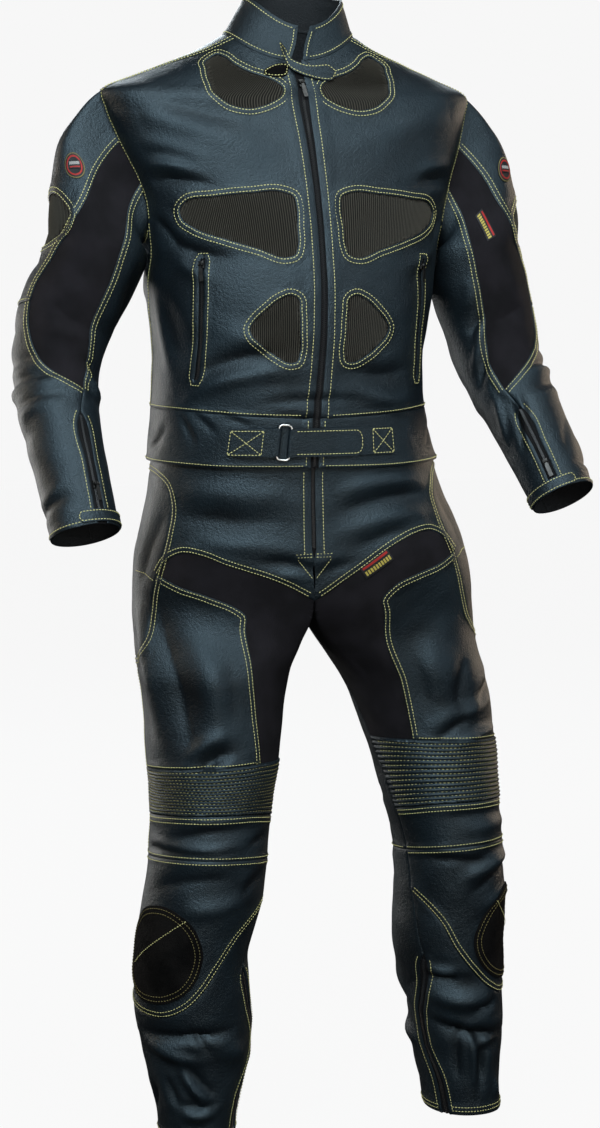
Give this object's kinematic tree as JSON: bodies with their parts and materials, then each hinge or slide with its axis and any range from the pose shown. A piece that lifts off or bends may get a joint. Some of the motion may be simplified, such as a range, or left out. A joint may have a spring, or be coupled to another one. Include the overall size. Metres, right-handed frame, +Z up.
{
  "type": "motorcycle race suit",
  "caption": "Hollow two-piece leather race suit in a standing pose: zipped jacket with stand collar, belted waist and trousers with ribbed knees.",
  "frame": {"origin": "between the wearer's shoulders, at the middle of the neck, a little below the collar seam", "axes": "+Z up along the standing wearer, -Y the way the jacket's front faces, +X to the wearer's left"},
  "size_m": [0.7327, 0.3018, 1.4855],
  "materials": {
    "leather": "black cowhide with a satin gloss and a fine grain",
    "stretch": "matte black stretch weave",
    "rib": "dark ribbed mesh and looped pile",
    "tape": "matte black zip tape with dark teeth",
    "metal": "satin nickel",
    "thread": "pale yellow-green sewing thread"
  },
  "bodies": {
    "suit": {"ankle_zip_l": "tape", "ankle_zip_r": "tape", "belt_anchor": "leather", "belt_ring": "metal", "belt_strap": "leather", "calf_l": "leather", "calf_r": "leather", "collar": "leather", "cuff_strap_l": "leather", "cuff_strap_r": "leather", "cuff_zip_l": "tape", "cuff_zip_r": "tape", "fly_zip": "tape", "hip_front_l": "leather", "hip_front_r": "leather", "hip_side_l": "leather", "hip_side_r": "leather", "jacket_back": "leather", "jacket_front_l": "leather", "jacket_front_r": "leather", "jacket_zip": "tape", "knee_accordion_l": "leather", "knee_accordion_r": "leather", "knee_band_l": "leather", "knee_band_r": "leather", "neck_strap": "leather", "pocket_zip_l": "tape", "pocket_zip_r": "tape", "shin_l": "leather", "shin_r": "leather", "sleeve_forearm_l": "leather", "sleeve_forearm_r": "leather", "sleeve_stretch_l": "stretch", "sleeve_stretch_r": "stretch", "sleeve_under_l": "leather", "sleeve_under_r": "leather", "sleeve_upper_l": "leather", "sleeve_upper_r": "leather", "sleeve_vent_l": "rib", "sleeve_vent_r": "rib", "slider_patch_l": "rib", "slider_patch_r": "rib", "thigh_leather_l": "leather", "thigh_leather_r": "leather", "thigh_stretch_l": "stretch", "thigh_stretch_r": "stretch", "trouser_back_l": "leather", "trouser_back_r": "leather", "vent_belly_l": "rib", "vent_belly_r": "rib", "vent_chest_l": "rib", "vent_chest_r": "rib", "vent_collar_l": "rib", "vent_collar_r": "rib", "waistband": "leather"},
    "jacket_zip_pull": {"jacket_zip_pull": "metal"},
    "pocket_pull_r": {"pocket_pull_r": "metal"},
    "cuff_pull_r": {"cuff_pull_r": "metal"},
    "pocket_pull_l": {"pocket_pull_l": "metal"},
    "cuff_pull_l": {"cuff_pull_l": "metal"}
  },
  "joints": [
    {"name": "jacket_zip_pull_hinge", "type": "hinge", "parent": "suit", "child": "jacket_zip_pull", "pos_m": [-0.00674, -0.07407, -0.04292], "axis": [-0.9924, -0.0312, -0.1192], "range_deg": [0, 150]},
    {"name": "pocket_pull_r_hinge", "type": "hinge", "parent": "suit", "child": "pocket_pull_r", "pos_m": [-0.14616, -0.10472, -0.26943], "axis": [-0.7901, 0.5957, -0.1446], "range_deg": [0, 150]},
    {"name": "cuff_pull_r_hinge", "type": "hinge", "parent": "suit", "child": "cuff_pull_r", "pos_m": [-0.28451, -0.14069, -0.53344], "axis": [-0.936, -0.3478, 0.0539], "range_deg": [0, 150]},
    {"name": "pocket_pull_l_hinge", "type": "hinge", "parent": "suit", "child": "pocket_pull_l", "pos_m": [0.14719, -0.09685, -0.2698], "axis": [-0.7506, -0.6476, 0.1309], "range_deg": [0, 150]},
    {"name": "cuff_pull_l_hinge", "type": "hinge", "parent": "suit", "child": "cuff_pull_l", "pos_m": [0.2973, -0.13598, -0.51767], "axis": [-0.8436, 0.3351, -0.4196], "range_deg": [0, 150]}
  ]
}
